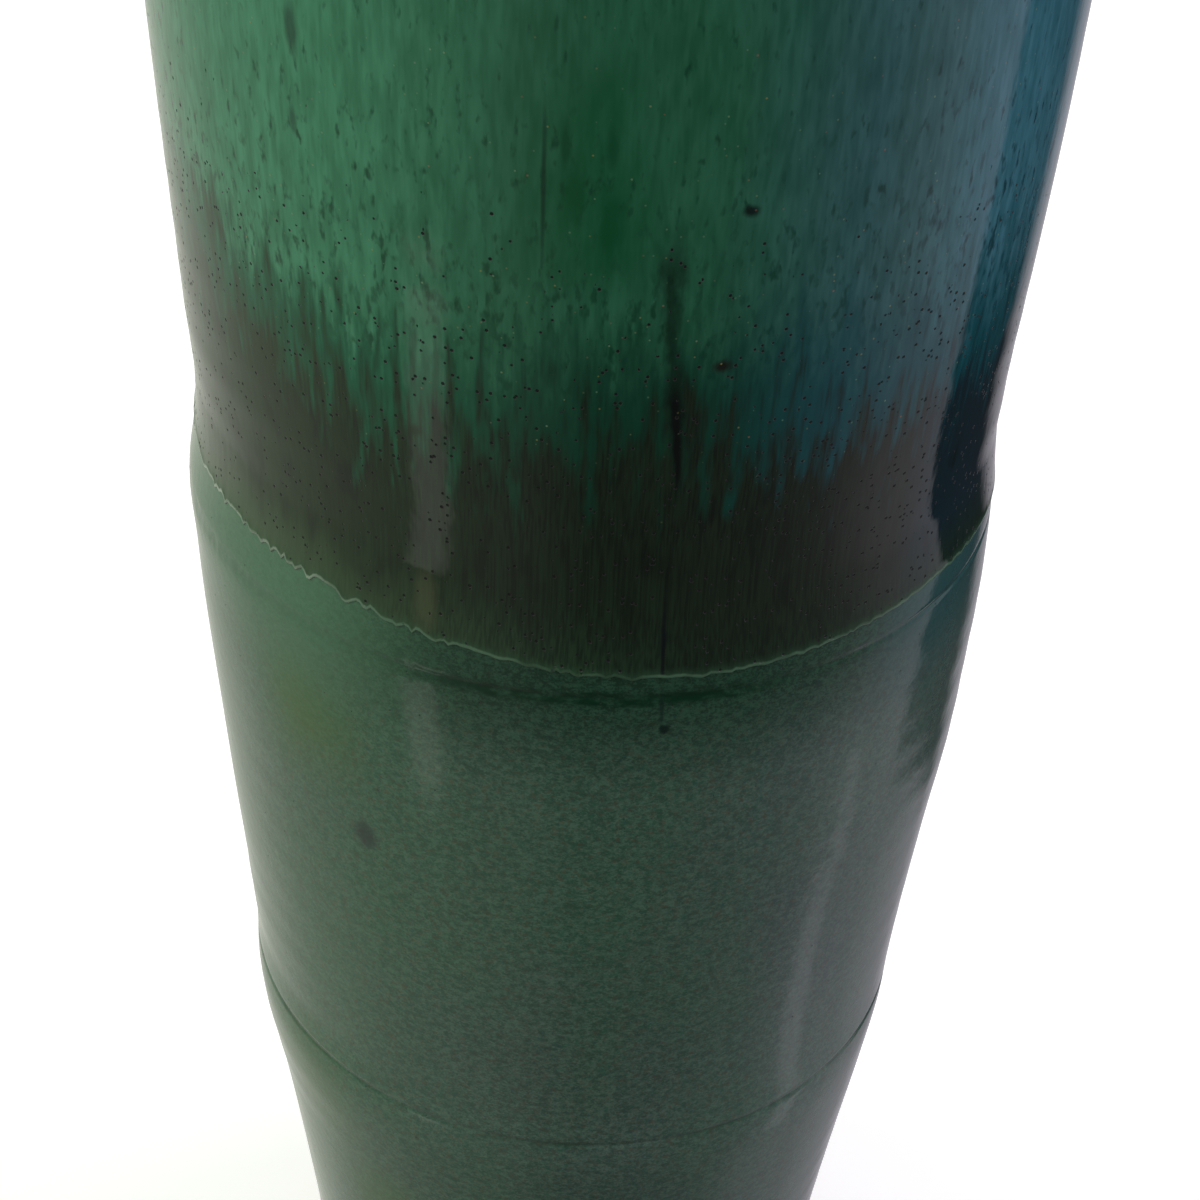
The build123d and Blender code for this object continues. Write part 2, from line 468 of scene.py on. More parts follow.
def face_outwards(mesh):
    """Turns every face of a closed shell to look outwards, by the sign of its volume."""
    mesh.calc_loop_triangles()
    corners = np.zeros(len(mesh.loop_triangles) * 3, np.int32)
    mesh.loop_triangles.foreach_get("vertices", corners)
    places = np.zeros(len(mesh.vertices) * 3)
    mesh.vertices.foreach_get("co", places)
    tri = places.reshape(-1, 3)[corners].reshape(-1, 3, 3)
    volume = np.einsum("ij,ij->i", tri[:, 0], np.cross(tri[:, 1], tri[:, 2])).sum() / 6
    if volume < 0:
        mesh.flip_normals()


# %% [markdown]
# ## Sections of the clay
# The walls are hidden under glaze on both sides, but they are real pieces, so they are turned
# with the same hand as the coats that lie on them. `heights` gives evenly spaced heights, and
# `side` walks along the rib at some distance from the clay's outside.

# %% Section helpers
ROW = 4 * MM     # height from one row of points to the next


def heights(low, high, step):
    """Evenly spaced heights from low to high, both included."""
    return np.linspace(low, high, max(2, int(round(abs(high - low) / step)) + 1))


def side(zs, out, follow=0.0):
    """Points beside the clay's outside, at a distance out that may differ with the height."""
    zs = np.asarray(zs, float)
    out = np.broadcast_to(np.asarray(out, float), zs.shape)
    follow = np.broadcast_to(np.asarray(follow, float), zs.shape)
    return list(zip(clay_radius(zs) + out, zs, follow))


def arc(centre, radius, start, end, count):
    """Points of an arc in the half plane, from start to end in radians."""
    return [(centre[0] + radius * math.cos(a), centre[1] + radius * math.sin(a), 0.0)
            for a in np.linspace(start, end, count)]


def straight(start, end, count):
    """Points of a straight run in the half plane."""
    start, run = np.array(start), np.array(end) - start
    return [(*(start + t * run), 0.0) for t in np.linspace(0, 1, count)]


def eased(points, rounds):
    """Rounds the corners of an open run, as glaze does when it melts, and keeps its ends."""
    run = np.array(points, float)
    for _ in range(rounds):
        run[1:-1] = (run[:-2] + 2 * run[1:-1] + run[2:]) / 4
    return [tuple(p) for p in run]


def without_repeats(points, nearest=0.02 * MM):
    """Drops points that lie on the one before."""
    kept = [points[0]]
    for p in points[1:]:
        if math.hypot(p[0] - kept[-1][0], p[1] - kept[-1][1]) > nearest:
            kept.append(p)
    if math.hypot(kept[0][0] - kept[-1][0], kept[0][1] - kept[-1][1]) < nearest:
        kept.pop()
    return kept


SHOULDER_AT = (WIDEST_R - SHOULDER_R, WIDEST)
HOLLOW_AT = (
    SHOULDER_AT[0] + (SHOULDER_R + HOLLOW_R) * math.cos(SHOULDER_SWEEP),
    WIDEST + (SHOULDER_R + HOLLOW_R) * math.sin(SHOULDER_SWEEP),
)
COLLAR_R = HOLLOW_AT[0] - HOLLOW_R
COLLAR_TOP = COLLAR_FOOT + COLLAR_RISE
RIM_AT = (RIM_MID_R, RIM_Z)


def up_to_neck(out, fine=1.0):
    """From the shoulder's joint up to the collar, at a distance out from the clay's outside."""
    shoulder = arc(SHOULDER_AT, SHOULDER_R + out, 0, SHOULDER_SWEEP, int(44 * fine))
    hollow = arc(HOLLOW_AT, HOLLOW_R - out, SHOULDER_SWEEP - math.pi, -math.pi, int(18 * fine))
    return side(heights(SHOULDER_JOINT, WIDEST, ROW), out) + shoulder + hollow


print("collar foot in the CAD", round(COLLAR_FOOT, 4), "and in the rib", round(HOLLOW_AT[1], 4))

# %% [markdown]
# ## Clay
# The foot ring is turned with a small bevel, the slab is its floor, and each thrown section
# ends in a flat face with a groove for the slip. The shoulder is a dome that turns into the
# hollow of the neck, the collar rises from it, and the rim is a roll that the potter folds
# over and rounds.

# %% Sections of the clay
SLIP_COVER = 2.5 * MM
INSIDE_CORNER = 13 * MM
CORNER_AT = (clay_radius(FLOOR + INSIDE_CORNER) - WALL_T - INSIDE_CORNER, FLOOR + INSIDE_CORNER)
GROOVE = SLIP_H / 2


def rounded(corners, radius):
    """A closed run of (radius, height) corners, each rounded a little."""
    run = []
    for i, corner in enumerate(corners):
        corner = np.array(corner)
        before, after = np.array(corners[i - 1]), np.array(corners[(i + 1) % len(corners)])
        if corner[0] == 0:
            run.append((*corner, 0.0))
            continue
        start = corner + (before - corner) / np.linalg.norm(before - corner) * radius
        end = corner + (after - corner) / np.linalg.norm(after - corner) * radius
        for t in np.linspace(0, 1, 5):
            run.append((*((1 - t) ** 2 * start + 2 * t * (1 - t) * corner + t ** 2 * end), 0.0))
    return run


def slip_sides(z):
    """Outer and inner radius of the slip in a joint."""
    return clay_radius(z) - SLIP_COVER, clay_radius(z) - WALL_T + SLIP_COVER


def end_face(z, into):
    """End face of a section from outside to inside, with the groove that its slip fills."""
    outer, inner = slip_sides(z)
    return [(outer, z, 0), (outer, z + into, 0), (inner, z + into, 0), (inner, z, 0)]


def wall_between(low, high):
    """A thrown section between two joints."""
    up_outside = side(heights(low, high, ROW), 0)
    down_inside = side(heights(high, low, ROW), -WALL_T)
    return up_outside + end_face(high, -GROOVE) + down_inside + end_face(low, GROOVE)[::-1]


def meeting(start, end, centre, radius):
    """Where a straight run meets a circle."""
    start, run = np.array(start), np.array(end) - np.array(start)
    away = start - np.array(centre)
    a, half_b, c = run @ run, away @ run, away @ away - radius ** 2
    return tuple(start + run * (-half_b - math.sqrt(half_b ** 2 - a * c)) / a)


def collar_and_rim(out, coat):
    """The collar up to the roll, at a distance out, and the angle where it meets the roll."""
    start = (COLLAR_R + out, COLLAR_FOOT)
    end = (COLLAR_R + COLLAR_LEAN + out, COLLAR_TOP)
    hit = meeting(start, end, RIM_AT, RIM_R + coat)
    return straight(start, hit, 9), math.atan2(hit[1] - RIM_AT[1], hit[0] - RIM_AT[0])


def foot_section():
    bevel = 2.5 * MM
    return rounded([(SLAB_R, 0), (FOOT_R - bevel, 0), (FOOT_R, bevel), (FOOT_R, FOOT_TOP),
                    (SLAB_R, FOOT_TOP)], 0.7 * MM)


def lower_wall_section():
    top_part = side(heights(FOOT_TOP, LOWER_JOINT, ROW), 0) + end_face(LOWER_JOINT, -GROOVE)
    inside = side(heights(LOWER_JOINT, CORNER_AT[1], ROW), -WALL_T)
    corner = arc(CORNER_AT, INSIDE_CORNER, 0, -math.pi / 2, 12)
    return top_part + inside + corner + [(SLAB_R, FLOOR, 0), (SLAB_R, FOOT_TOP, 0)]


def shoulder_section():
    return up_to_neck(0) + up_to_neck(-WALL_T)[::-1] + end_face(SHOULDER_JOINT, GROOVE)[::-1]


def collar_section():
    outside, outer_turn = collar_and_rim(0, 0)
    inside, inner_turn = collar_and_rim(-WALL_T, 0)
    return outside + arc(RIM_AT, RIM_R, outer_turn, inner_turn, 14) + inside[::-1]


def slip_section(joint):
    outer, inner = slip_sides(joint)
    low, high = joint - GROOVE, joint + GROOVE
    return rounded([(inner, low), (outer, low), (outer, high), (inner, high)], 0.3 * MM)


clay_sections = {
    "foot_ring": foot_section(),
    "base_slab": rounded([(0, SLAB_BOTTOM), (SLAB_R, SLAB_BOTTOM), (SLAB_R, FLOOR), (0, FLOOR)],
                         0.4 * MM),
    "lower_wall": lower_wall_section(),
    "middle_wall": wall_between(LOWER_JOINT, UPPER_JOINT),
    "upper_wall": wall_between(UPPER_JOINT, SHOULDER_JOINT),
    "shoulder_wall": shoulder_section(),
    "neck_collar": collar_section(),
    "rim_roll": arc(RIM_AT, RIM_R, 0, math.tau, 49),
}
slip_sections = {
    "lower_joint_slip": slip_section(LOWER_JOINT),
    "upper_joint_slip": slip_section(UPPER_JOINT),
    "shoulder_joint_slip": slip_section(SHOULDER_JOINT),
}
print({name: len(loop) for name, loop in clay_sections.items()})

# %% [markdown]
# ## Glaze
# Each coat is a skin with its own thickness. Over bare clay it ends in a fat roll, where it
# crept down in the kiln and stopped. The upper coat lies over the tapered top of the lower
# one, and its own foot is a thin bead that rides on the wavy edge. Coats are cut at the
# joints of the clay, so that no piece is too big to paint finely. Rows are close together
# where the surface bends fast.

# %% Sections of the glaze
TAPER, TAPER_TIP = 12 * MM, 0.3 * MM     # height and least thickness of the lower coat's top
CLOSEST = 0.35 * MM                      # least height of a row
MELTS = 6                                # how often a coat over the rim is eased
FOLLOWS, FADES = 22 * MM, 52 * MM
EDGE_BEAD = [  # height over the glaze's edge and thickness over the clay, in millimetres
    (0.0, 1.02), (0.12, 1.22), (0.35, 1.42), (0.7, 1.55), (1.1, 1.58), (1.6, 1.52), (2.2, 1.42),
    (3.2, 1.33), (5.0, 1.27), (8.0, 1.22), (14.0, 1.14), (24.0, 1.04),
]
FOOT_ROLL = [  # height over the coat's lower end and thickness, in millimetres
    (0.0, 0.05), (0.1, 0.55), (0.35, 1.0), (0.8, 1.35), (1.4, 1.5), (2.4, 1.48), (3.8, 1.3),
    (5.6, 1.14), (8.0, 1.04), (12.0, 1.0),
]


def follow_of(zs):
    """How far a row follows the wavy edge: wholly beside it, and not at all further away."""
    away = (np.abs(np.asarray(zs) - GLAZE_EDGE) - FOLLOWS) / FADES
    t = np.clip(1 - away, 0, 1)
    return t * t * (3 - 2 * t)


def rows(low, high, step, close_to=()):
    """Heights from low to high, closer together near the given heights."""
    zs = [low]
    while zs[-1] < high:
        gap = min([step, *(max(CLOSEST, abs(zs[-1] - c) * 0.3) for c in close_to)])
        zs.append(zs[-1] + gap)
    zs = np.array(zs)
    return low + (zs - low) * (high - low) / (zs[-1] - low)


def coat(zs, thick):
    """A run of the coat's surface at the given heights and thickness over the clay."""
    return side(zs, thick, follow_of(zs))


def skin(surface, back):
    """Closes a coat: its surface from the bottom up, and its back from the bottom up."""
    return without_repeats(list(surface) + list(back)[::-1])


def lower_coat():
    roll_z, roll_t = np.array(FOOT_ROLL).T * MM
    roll = coat(GLAZE_START + roll_z, roll_t)
    above = rows(roll[-1][1] + ROW, LOWER_JOINT, ROW, [LOWER_JOINT])
    back = coat(heights(GLAZE_START, LOWER_JOINT, 2 * ROW), 0)
    return skin(roll + coat(above, GLAZE_T), back)


def tapered_top():
    """The lower coat's surface where it thins away under the upper one."""
    part = np.linspace(0, 1, 6)[1:]
    return coat(GLAZE_EDGE + part * TAPER, np.linspace(GLAZE_T, TAPER_TIP, 6)[1:])


def middle_coat():
    zs = rows(LOWER_JOINT, GLAZE_EDGE, ROW, [LOWER_JOINT, UPPER_JOINT])
    back = coat(heights(LOWER_JOINT, GLAZE_EDGE + TAPER, 2 * ROW), 0)
    return skin(coat(zs, GLAZE_T) + tapered_top(), back)


def upper_coat():
    bead_z, bead_t = np.array(EDGE_BEAD).T * MM
    bead = coat(GLAZE_EDGE + bead_z, bead_t)
    above = rows(GLAZE_EDGE + bead_z[-1] + ROW / 2, SHOULDER_JOINT, ROW)
    back = coat(heights(GLAZE_EDGE + TAPER + ROW / 2, SHOULDER_JOINT, 2 * ROW), 0)
    return skin(bead + coat(above, GLAZE_T), tapered_top() + back)


CREST = math.pi / 2     # the turn round the roll at which its top is reached


def over_the_top(out, coat_t, fine=1.0):
    """From the shoulder's joint up to the rim's crest, at a distance out."""
    collar, turn = collar_and_rim(out, coat_t)
    if out <= -WALL_T and turn < 0:
        turn += math.tau      # inside, the roll is followed the other way round
    roll = arc(RIM_AT, RIM_R + coat_t, turn, CREST, int(22 * fine))
    return without_repeats(up_to_neck(out, fine) + collar + roll)


def top_coat():
    return skin(eased(over_the_top(GLAZE_T, GLAZE_T), MELTS), over_the_top(0, 0, 0.4))


def lining_between(low, high):
    return skin(side(heights(low, high, ROW), -WALL_T - GLAZE_T),
                side(heights(low, high, 2 * ROW), -WALL_T))


def lining_base():
    def run(depth):
        corner = arc(CORNER_AT, INSIDE_CORNER - depth, -CREST, 0, 14)
        floor = straight((0, FLOOR + depth), corner[0][:2], 14)
        return floor + corner + side(heights(CORNER_AT[1], LOWER_JOINT, ROW), -WALL_T - depth)
    return skin(run(GLAZE_T), run(0))


def lining_neck():
    surface = over_the_top(-WALL_T - GLAZE_T, GLAZE_T, 1.2)
    return skin(eased(surface, MELTS), over_the_top(-WALL_T, 0))


print("rows in the upper coat", len(upper_coat()), "and in the middle one", len(middle_coat()))

# %% [markdown]
# ## Glaze colours
# All three glazes are glass over clay, so they are dark, clear and shiny, and most of what is
# seen on them at a shallow angle is reflection. Every pattern below is worked out from the
# point on the vase and from the two heights that the wheel stored: the thrown height, and the
# height over the edge.

# %% Tools for the glazes
GIRTH_R = 150 * MM     # radius of the pot where its marks are measured


def paint(red, green, blue):
    """A colour as it is mixed on a screen, 0 to 255, in the scene's linear light."""
    parts = []
    for value in (red, green, blue):
        value /= 255
        parts.append(value / 12.92 if value <= 0.04045 else ((value + 0.055) / 1.055) ** 2.4)
    return (*parts, 1.0)


class Glaze(Bench):
    """A bench for one material, with the places that its patterns are drawn from."""

    def __init__(self, name):
        self.material = bpy.data.materials.new(name)
        self.material.use_nodes = True
        tree = self.material.node_tree
        tree.nodes.clear()
        super().__init__(tree)
        self.point = self.get("ShaderNodeTexCoord", out="Object")
        self.x, self.y, self.z = self.node("ShaderNodeSeparateXYZ", self.point).outputs
        self.turn = self.math("ARCTAN2", self.x, self.times(self.y, -1.0))
        self.thrown = self.get("ShaderNodeAttribute", attribute_name="thrown_height", out="Fac")
        self.over_edge = self.get("ShaderNodeAttribute", attribute_name="over_edge", out="Fac")

    def sides(self):
        """How far to the left and how far to the right the point is, each from 0 to 1."""
        return [self.span(x, 0.0, WIDEST_R) for x in (self.times(self.x, -1.0), self.x)]

    def stretched(self, tall, shift):
        """The point, placed so that a pattern comes out tall times as high as it is wide."""
        z = self.add(self.times(self.z, 1 / tall), shift)
        return self.get("ShaderNodeCombineXYZ", self.x, self.y, z)

    def noise(self, size, tall=1.0, detail=2.0, rough=0.5, warp=0.0, shift=0.0):
        """Noise whose features are about size millimetres across."""
        return self.get("ShaderNodeTexNoise", in_Vector=self.stretched(tall, shift),
                        in_Scale=0.5 / (size * MM), in_Detail=detail, in_Roughness=rough,
                        in_Distortion=warp)

    def spots(self, spacing, radius, shift=0.0, soft=0.5):
        """Round spots in millimetres: how deep the point is in one, and the spot's own number."""
        cells = self.node("ShaderNodeTexVoronoi", in_Vector=self.stretched(1.0, shift),
                          in_Scale=1 / (spacing * MM))
        own = self.node("ShaderNodeSeparateXYZ", cells.outputs["Color"]).outputs[0]
        size = radius / spacing
        return self.span(cells.outputs["Distance"], size * (1 - soft), size, 1.0, 0.0), own

    def some(self, spots, share):
        """Only a share of the spots."""
        inside, own = spots
        return self.times(inside, self.math("LESS_THAN", own, share))

    def mark(self, degrees, height, wide, tall, soft, wobble):
        """1 inside a wobbly oval at a turn and a height, fading over its rim. Sizes in mm."""
        across = self.less(self.turn, math.radians(degrees))
        across = self.times(across, GIRTH_R / (wide * MM))
        along = self.times(self.less(self.thrown, height * MM), 1 / (tall * MM))
        away = self.math("SQRT", self.add(self.times(across, across), self.times(along, along)))
        away = self.add(away, self.sway(wobble, 1.1))
        return self.span(away, 1 - soft, 1 + soft * 0.5, 1.0, 0.0)

    def marks(self, table, wobble, soft=0.7):
        """The marks of a table, ready for a wash."""
        return [(tint, self.mark(*place, soft, wobble), amount) for *place, tint, amount in table]

    def mix(self, amount, a, b):
        """Colour a turning to colour b by the amount."""
        made = self.tree.nodes.new("ShaderNodeMix")
        made.data_type = "RGBA"
        for place, value in ((0, amount), (6, a), (7, b)):
            if isinstance(value, bpy.types.NodeSocket):
                self.tree.links.new(value, made.inputs[place])
            else:
                made.inputs[place].default_value = paint(*value) if place else value
        return made.outputs[2]

    def wash(self, colour, *coats):
        """Colours laid over one another. Each is as strong as the product of its amounts."""
        for over, *amounts in coats:
            colour = self.mix(self.times(*amounts), colour, over)
        return colour

    def rim_crest(self, slow, quick):
        """The tan where a glaze is thin and breaks over the rim, ready for a wash."""
        high = self.span(self.add(self.z, self.sway(slow, 6 * MM)), RIM_TOP - 5 * MM, RIM_TOP)
        return (112, 94, 60), high, self.span(quick, 0.3, 0.7, 0.45, 0.9)

    def gloss(self, size, tall, low, high):
        """Roughness that drifts between two values."""
        return self.span(self.noise(size, tall, 3.0), 0.3, 0.7, low, high, smooth=False)

    def finish(self, colour, roughness, height, relief):
        """Glass over the pattern: one Principled shader, its relief and the output."""
        bump = self.get("ShaderNodeBump", in_Strength=1.0, in_Distance=relief, in_Height=height)
        shader = self.get("ShaderNodeBsdfPrincipled", colour, in_Roughness=roughness,
                          in_Normal=bump)
        out = self.tree.nodes.new("ShaderNodeOutputMaterial")
        self.tree.links.new(shader, out.inputs[0])
        return self.material


# %% [markdown]
# ### The teal glaze
# It is a thick, running glaze. High up it is an even teal with soft, upright mottles and tiny
# pale specks. Lower down it thins into fingers over a brown-black glaze, which is full of
# pinholes and fine upright hairs, and it turns greenish again just over its edge, where it
# melted into the sage glaze.

# %% Teal glaze
FINGERS_Z, FINGERS_REACH = 588 * MM, 52 * MM
TEAL_MARKS = [  # turn in degrees, height, half width and half height in mm, tint and strength
    (10.0, 496, 0.9, 17, (8, 14, 22), 0.85),
    (16.0, 657.5, 3.0, 2.2, (8, 30, 26), 0.95),
    (14.4, 604.5, 3.0, 2.4, (28, 18, 12), 0.9),
    (-4.1, 679, 1.6, 8, (4, 84, 50), 0.75),
    (-3.0, 664, 3.4, 11, (2, 90, 50), 0.8),
    (0.8, 678, 1.8, 7, (4, 84, 50), 0.6),
    (0.9, 655, 4.2, 14, (2, 92, 52), 0.8),
    (-21.6, 571.5, 2.4, 2.2, (22, 52, 16), 0.85),
    (-6.3, 664, 0.8, 26, (12, 62, 42), 0.8),
    (-35.6, 698, 2.4, 9, (24, 62, 46), 0.7),
    (-36.2, 668, 1.4, 5, (24, 62, 46), 0.6),
    # Painted highlight: the pale warm mark below is the foot of a light's reflected streak.
    (-20.8, 504, 4.6, 14, (92, 100, 70), 0.5),
    (84.0, 622, 1.4, 8, (14, 54, 58), 0.6),
    (118.0, 668, 1.8, 12, (10, 56, 60), 0.6),
    (149.0, 641, 2.8, 9, (8, 60, 40), 0.7),
    (170.0, 606, 2.4, 15, (8, 40, 26), 0.7),
    (-152.0, 676, 2.2, 8, (10, 66, 40), 0.7),
    (-128.0, 612, 3.0, 2.4, (28, 18, 12), 0.85),
]


def teal_glaze():
    g = Glaze("teal_glaze")
    left, right = g.sides()
    broad = g.noise(26, 2.0)
    cloud = g.noise(4.5, 2.6)
    stroke = g.noise(1.6, 5.0, shift=0.4)
    fine = g.noise(0.8, 7.0, 1.0, shift=0.9)
    hairs = g.noise(0.42, 60.0, 1.0, 0.6)
    grain = g.add(g.times(stroke, 0.5), g.times(fine, 0.25), g.times(cloud, 0.25))
    tone = g.span(grain, 0.34, 0.68)

    # Teal, greener and lighter to the left and bluer to the right: partly the glaze's own drift
    # and partly painted light, a painted lit left side and painted bluish light and reflection to
    # the right, palest at the far right. Its small upright strokes grow darker and closer towards
    # the fingers.
    hue = g.sway(broad, 0.3)
    crowding = g.span(g.thrown, 705 * MM, 600 * MM, 0.0, 0.11)
    dash = g.add(g.noise(1.3, 2.4, 2.0, 0.5, 0.1, shift=1.3), crowding)
    teal = g.wash(
        g.mix(tone, (38, 108, 76), (56, 128, 96)),
        (g.mix(tone, (62, 138, 102), (84, 166, 128)), g.span(g.add(left, hue), 0.0, 0.5)),
        (g.mix(tone, (46, 98, 98), (68, 120, 122)), g.span(g.add(right, hue), 0.05, 0.55)),
        (g.mix(tone, (58, 120, 134), (82, 142, 158)), g.span(right, 0.6, 0.9)),
        ((2, 100, 56), g.mark(-1.5, 664, 20, 36, 0.9, cloud), 0.65),
        (g.mix(right, (14, 80, 52), (22, 62, 76)), g.span(dash, 0.58, 0.8),
         g.span(cloud, 0.35, 0.6, 0.35, 0.9)),
    )

    # Fingers: upright noise decides where teal gives way, first to a deep wet teal, then to brown.
    lift = g.add(g.times(left, left, 30 * MM), g.times(right, -8 * MM))
    height = g.times(g.less(g.thrown, g.add(lift, FINGERS_Z)), 1 / FINGERS_REACH)
    pull = g.add(g.sway(g.noise(1.8, 9.0, shift=2.1), 2.3), g.sway(cloud, 1.3), g.sway(fine, 0.5),
                 g.sway(hairs, 0.3))
    level = g.add(height, pull)
    thick = g.span(level, -0.7, 0.25)
    # The deep teal is painted lighter on the left and bluer on the right: partly painted light.
    deep = g.wash(g.mix(g.span(g.x, -60 * MM, 0.0), (26, 108, 76), (8, 74, 54)),
                  ((18, 88, 96), g.span(right, 0.05, 0.5)))
    wet = g.span(g.x, -70 * MM, 25 * MM, 0.45, 1.05)
    teal = g.mix(g.span(g.add(height, g.times(pull, 0.5)), -0.05, wet), deep, teal)

    # Brown-black under it, with fine hairs, turning greenish over the glaze's edge. Its lighter
    # olive left and darker right, bluish at the far right, are partly painted light.
    greenish = g.span(g.add(g.over_edge, g.sway(cloud, 12 * MM)), 26 * MM, 2 * MM)
    combed = g.wash(
        g.mix(g.span(hairs, 0.3, 0.7), (28, 52, 34), (46, 76, 52)),
        ((18, 30, 20), g.span(g.x, -10 * MM, 40 * MM, 0.0, 0.6)),
        ((84, 112, 76), left, 0.9),
    )
    brown = g.wash(
        g.mix(g.span(hairs, 0.25, 0.75), (22, 36, 24), (34, 56, 36)),
        ((50, 78, 40), left, 0.65),
        ((36, 32, 28), right, 0.65),
        ((22, 50, 60), g.span(right, 0.7, 0.84, 0.0, 0.85)),
        ((38, 34, 24), g.span(broad, 0.5, 0.75, 0.0, 0.4)),
        ((14, 22, 14), g.span(cloud, 0.5, 0.72, 0.0, 0.45)),
        (combed, greenish, 0.75),
        ((58, 98, 70), g.span(g.over_edge, 5 * MM, 0.0, 0.0, 0.45)),
    )

    # The drip that a kiln firing left on this vase, wet along its middle.
    wobble = g.noise(2.4, 2.0, 3.0)
    path = g.span(g.thrown, 630 * MM, 560 * MM, math.radians(7.9), math.radians(10.2))
    beside = g.times(g.math("ABSOLUTE", g.less(g.turn, path)), GIRTH_R)
    half = g.span(g.thrown, 555 * MM, 600 * MM, 1.2 * MM, 3.0 * MM)
    inside = g.add(g.math("DIVIDE", beside, half), g.sway(wobble, 2.4), g.sway(cloud, 2.4))
    drip = g.times(g.span(inside, 0.1, 1.5, 1.0, 0.0),
                   g.bell(g.thrown, 602 * MM, 32 * MM, 26 * MM))
    core = g.times(g.span(inside, -0.4, 0.6, 1.0, 0.0),
                   g.bell(g.thrown, 576 * MM, 14 * MM, 14 * MM))

    # Pinholes, most in the brown and among the fingers, and pale specks in the teal.
    common = g.times(g.span(level, 1.3, 0.1, 0.0, 0.75), g.span(g.noise(5), 0.4, 0.6, 0.12, 1.5))
    holes = g.some(g.spots(2.9, 0.68, soft=0.35), common)
    specks = g.some(g.spots(3.6, 0.46, shift=0.77, soft=0.6), 0.5)
    kind = g.noise(3)
    pale = g.wash(g.mix(g.span(kind, 0.4, 0.5), (158, 150, 84), (126, 168, 132)),
                  ((168, 108, 92), g.span(kind, 0.56, 0.62)))

    # The pale bead at its edge carries a painted highlight: it is painted much paler on the left,
    # where it catches the light.
    bead = g.add(g.over_edge, g.sway(g.noise(2.2), 1.2 * MM))
    bead_tint_and_highlight = g.mix(g.span(left, 0.35, 0.8), (96, 134, 106), (188, 208, 188))

    colour = g.wash(
        g.mix(thick, brown, teal),
        ((6, 44, 28), drip, 0.8),
        ((4, 12, 10), core),
        *g.marks(TEAL_MARKS, wobble),
        (pale, specks, thick, g.span(cloud, 0.4, 0.6, 0.35, 0.8)),
        ((6, 6, 6), holes),
        (bead_tint_and_highlight, g.bell(bead, 0.7 * MM, 0.35 * MM, 0.9 * MM),
         g.span(g.noise(9, shift=0.6), 0.35, 0.62, 0.25, 0.85)),
        g.rim_crest(broad, cloud),
    )
    rough = g.add(g.gloss(6, 1.5, 0.03, 0.09), g.times(holes, 0.5))
    relief = g.add(g.times(g.noise(2.2, 1.6, 1.0), 0.2), g.times(hairs, 0.03),
                   g.times(holes, -0.8), g.times(drip, 0.5))
    return g.finish(colour, rough, relief, 0.2 * MM)


# %% [markdown]
# ### The sage glaze
# It is a matter of fine fibres: two greens curdled at a millimetre or two, with yellow-green
# patches to the left. It is greener to the left, partly painted light, and to the right it carries
# a grey veil that is a painted reflection. It pools into dark lines in the creases over the
# joints, which also carry painted shade.

# %% Sage glaze
YELLOW = (80, 118, 48)
YELLOW_PATCHES = [  # as the marks of the teal glaze
    (-41, 436, 24, 34, YELLOW, 0.6), (-52, 212, 30, 30, YELLOW, 0.45),
    (-34, 150, 26, 34, YELLOW, 0.5), (-146, 318, 30, 46, YELLOW, 0.5),
    (112, 420, 26, 24, YELLOW, 0.35), (158, 150, 34, 28, YELLOW, 0.4),
]
SAGE_MARKS = [
    (-31.0, 389, 5.5, 6.5, (46, 52, 56), 0.7),
    (10.6, 462.5, 2.0, 2.0, (6, 34, 28), 0.9),
    (10.2, 470, 1.2, 8.0, (10, 42, 34), 0.7),
    (131.0, 336, 4.5, 5.0, (46, 52, 56), 0.6),
    (-118.0, 166, 3.5, 5.5, (40, 48, 50), 0.6),
]


